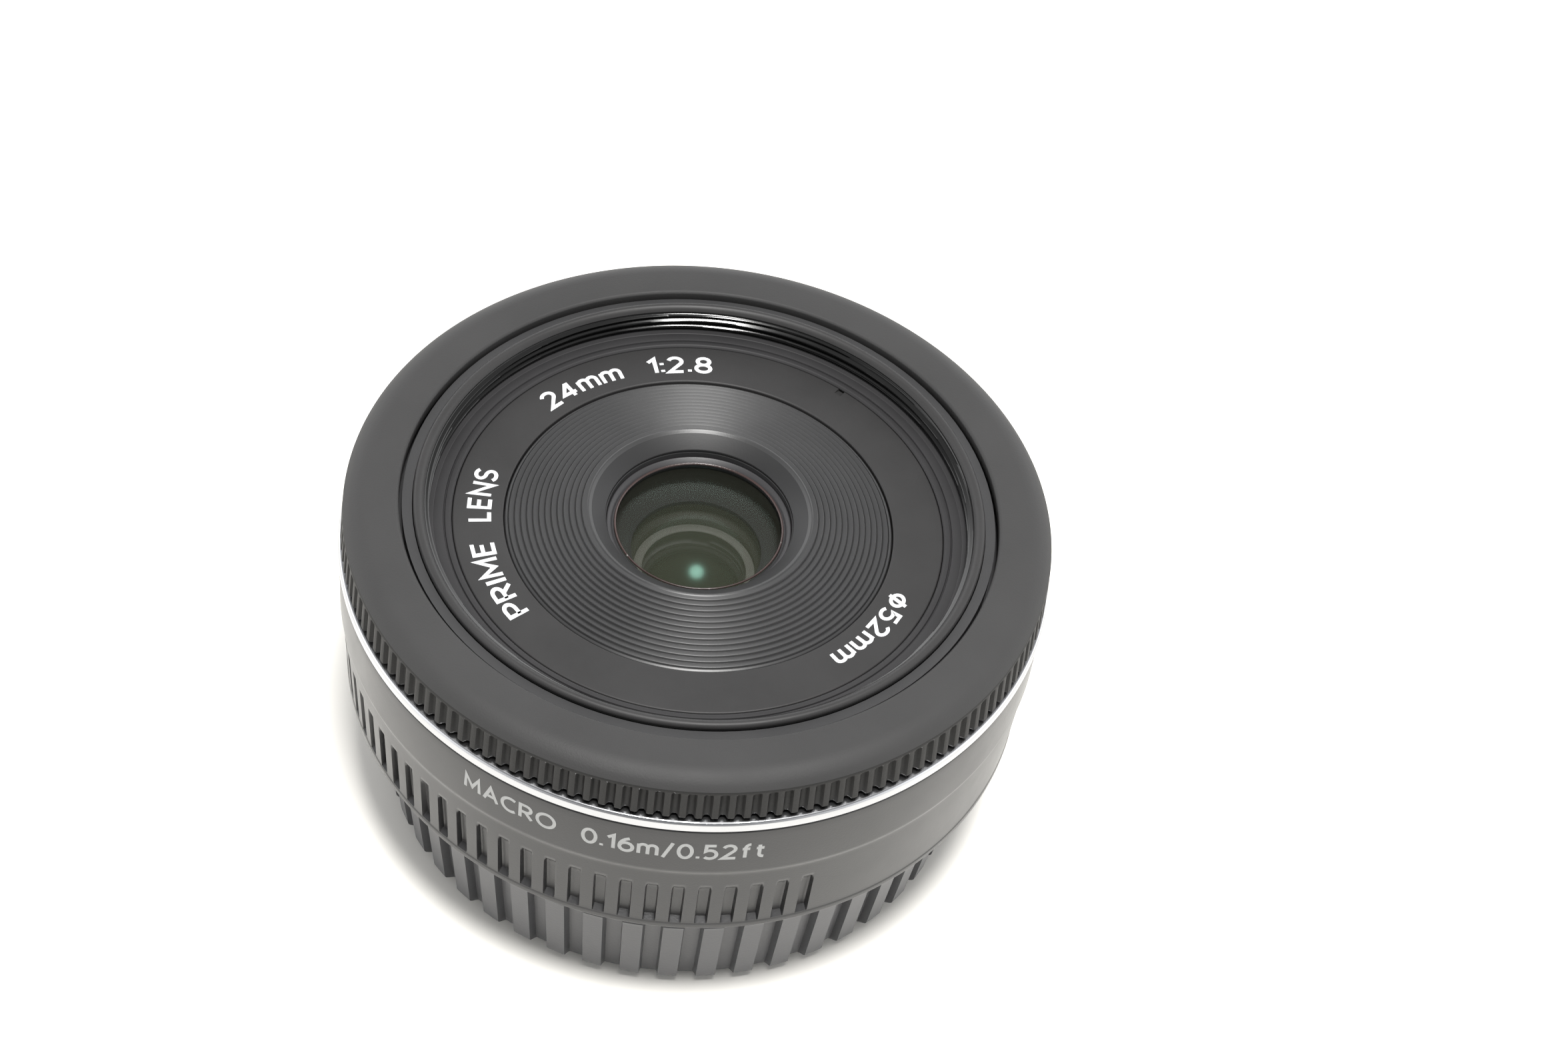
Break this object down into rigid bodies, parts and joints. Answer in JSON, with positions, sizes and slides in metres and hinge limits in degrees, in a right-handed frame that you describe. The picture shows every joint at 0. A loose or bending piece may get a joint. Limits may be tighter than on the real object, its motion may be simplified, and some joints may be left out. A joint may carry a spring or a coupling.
{
  "type": "prime camera lens",
  "caption": "Slim prime lens for an interchangeable-lens camera: ribbed focus ring, bright accent ring, grooved grip, bayonet mount, working iris and ribbed rear cap.",
  "frame": {"origin": "centre of the rear cap's bottom face, where the lens stands", "axes": "+Z along the optical axis towards the subject; +Y towards the mount index mark; +X to the right when the front is seen with +Y up"},
  "size_m": [0.0682, 0.0682, 0.0376],
  "materials": {
    "barrel_plastic": "charcoal, fine satin texture",
    "black_plastic": "matte black",
    "blade_metal": "dry black coating",
    "board_green": "solder mask",
    "brass": "turned",
    "bright_metal": "polished",
    "cam_aluminium": "black anodised",
    "cap_plastic": "moulded, fine grain",
    "chip_black": "moulded package",
    "contact_gold": "gold plated",
    "focus_plastic": "matte black",
    "gear_plastic": "natural acetal",
    "gloss_black": "semi-gloss black",
    "mount_metal": "turned and plated",
    "optical_glass": "coated, green tint",
    "screw_steel": "plated",
    "spring_steel": "spring strip",
    "steel": "ground",
    "white_mark": "white fill"
  },
  "bodies": {
    "rear_cap": {"rear_cap": "cap_plastic"},
    "lens_body": {"outer_barrel": "barrel_plastic", "accent_ring": "bright_metal", "mount_index": "white_mark", "bayonet_mount": "mount_metal", "mount_screws": "screw_steel", "contact_block": "gloss_black", "contact_pads": "contact_gold", "contact_screws": "screw_steel", "rear_baffle": "black_plastic", "chassis": "black_plastic", "cam_ring_clip": "spring_steel", "guide_collar": "black_plastic", "collar_screws": "screw_steel", "ring_sensor": "chip_black", "focus_motor": "steel", "gear_axle": "steel", "gear_cover": "spring_steel", "circuit_board": "board_green", "board_chips": "chip_black", "switch_plate": "gloss_black", "switch_board": "board_green"},
    "focus_ring": {"focus_ring": "focus_plastic", "encoder_ring": "black_plastic"},
    "switch_knob": {"switch_knob": "black_plastic"},
    "moving_group": {"inner_barrel": "gloss_black", "cam_followers": "brass", "name_ring": "black_plastic", "front_baffle": "black_plastic", "front_cell": "black_plastic", "front_retainer": "gloss_black", "cell_spacer": "black_plastic", "rear_cell": "black_plastic", "cell_screws": "screw_steel", "doublet_retainer": "gloss_black", "rear_spacer": "black_plastic", "rear_retainer": "gloss_black", "iris_housing": "black_plastic", "iris_cover": "black_plastic", "iris_motor": "steel", "lens_1": "optical_glass", "lens_2": "optical_glass", "lens_3": "optical_glass", "lens_4": "optical_glass", "lens_5": "optical_glass", "lens_6": "optical_glass"},
    "cam_ring": {"cam_ring": "cam_aluminium"},
    "reduction_gear": {"reduction_gear": "gear_plastic"},
    "motor_rotor": {"motor_pinion": "brass"},
    "iris_ring": {"iris_ring": "black_plastic"},
    "iris_rotor": {"iris_pinion": "brass"},
    "blade_1": {"iris_blade_1": "blade_metal"},
    "blade_2": {"iris_blade_2": "blade_metal"},
    "blade_3": {"iris_blade_3": "blade_metal"},
    "blade_4": {"iris_blade_4": "blade_metal"},
    "blade_5": {"iris_blade_5": "blade_metal"},
    "blade_6": {"iris_blade_6": "blade_metal"},
    "blade_7": {"iris_blade_7": "blade_metal"}
  },
  "joints": [
    {"name": "lens_lift", "type": "slide", "parent": "rear_cap", "child": "lens_body", "axis": [0, 0, 1], "range_m": [0, 0.03]},
    {"name": "focus_ring_turn", "type": "hinge", "parent": "lens_body", "child": "focus_ring", "pos_m": [0, 0, 0.0352], "axis": [0, 0, 1], "continuous": true},
    {"name": "af_mf_switch", "type": "hinge", "parent": "lens_body", "child": "switch_knob", "pos_m": [0, 0, 0.0274], "axis": [0, 0, 1], "range_deg": [0, 4.2]},
    {"name": "group_focus", "type": "slide", "parent": "lens_body", "child": "moving_group", "axis": [0, 0, 1], "range_m": [0, 0.0065]},
    {"name": "cam_turn", "type": "hinge", "parent": "lens_body", "child": "cam_ring", "pos_m": [0, 0, 0.023], "axis": [0, 0, -1], "range_deg": [0, 80]},
    {"name": "gear_turn", "type": "hinge", "parent": "lens_body", "child": "reduction_gear", "pos_m": [-0.01774, -0.02114, 0.0265], "axis": [0, 0, 1], "range_deg": [0, 1146.68]},
    {"name": "motor_turn", "type": "hinge", "parent": "lens_body", "child": "motor_rotor", "pos_m": [-0.01297, -0.02526, 0.025], "axis": [0, 0, -1], "range_deg": [0, 2866.68]},
    {"name": "iris_turn", "type": "hinge", "parent": "moving_group", "child": "iris_ring", "pos_m": [0, 0, 0.0266], "axis": [0, 0, 1], "range_deg": [0, 36]},
    {"name": "iris_motor_turn", "type": "hinge", "parent": "moving_group", "child": "iris_rotor", "pos_m": [-0.01438, -0.00523, 0.0266], "axis": [0, 0, -1], "range_deg": [0, 270]},
    {"name": "blade_turn_1", "type": "hinge", "parent": "moving_group", "child": "blade_1", "pos_m": [0.009, 0, 0.0255], "axis": [0, 0, 1], "range_deg": [0, 27]},
    {"name": "blade_turn_2", "type": "hinge", "parent": "moving_group", "child": "blade_2", "pos_m": [0.00561, 0.00704, 0.0255], "axis": [0, 0, 1], "range_deg": [0, 27]},
    {"name": "blade_turn_3", "type": "hinge", "parent": "moving_group", "child": "blade_3", "pos_m": [-0.002, 0.00877, 0.0255], "axis": [0, 0, 1], "range_deg": [0, 27]},
    {"name": "blade_turn_4", "type": "hinge", "parent": "moving_group", "child": "blade_4", "pos_m": [-0.00811, 0.0039, 0.0255], "axis": [0, 0, 1], "range_deg": [0, 27]},
    {"name": "blade_turn_5", "type": "hinge", "parent": "moving_group", "child": "blade_5", "pos_m": [-0.00811, -0.0039, 0.0255], "axis": [0, 0, 1], "range_deg": [0, 27]},
    {"name": "blade_turn_6", "type": "hinge", "parent": "moving_group", "child": "blade_6", "pos_m": [-0.002, -0.00877, 0.0255], "axis": [0, 0, 1], "range_deg": [0, 27]},
    {"name": "blade_turn_7", "type": "hinge", "parent": "moving_group", "child": "blade_7", "pos_m": [0.00561, -0.00704, 0.0255], "axis": [0, 0, 1], "range_deg": [0, 27]}
  ],
  "couplings": [
    {"joint": "cam_turn", "follows": "group_focus", "rad_per_m": 214.81},
    {"joint": "gear_turn", "follows": "group_focus", "rad_per_m": 3078.9},
    {"joint": "motor_turn", "follows": "group_focus", "rad_per_m": 7697.3},
    {"joint": "iris_motor_turn", "follows": "iris_turn", "ratio": 7.5},
    {"joint": "blade_turn_1", "follows": "iris_turn", "ratio": 0.75},
    {"joint": "blade_turn_2", "follows": "iris_turn", "ratio": 0.75},
    {"joint": "blade_turn_3", "follows": "iris_turn", "ratio": 0.75},
    {"joint": "blade_turn_4", "follows": "iris_turn", "ratio": 0.75},
    {"joint": "blade_turn_5", "follows": "iris_turn", "ratio": 0.75},
    {"joint": "blade_turn_6", "follows": "iris_turn", "ratio": 0.75},
    {"joint": "blade_turn_7", "follows": "iris_turn", "ratio": 0.75}
  ]
}
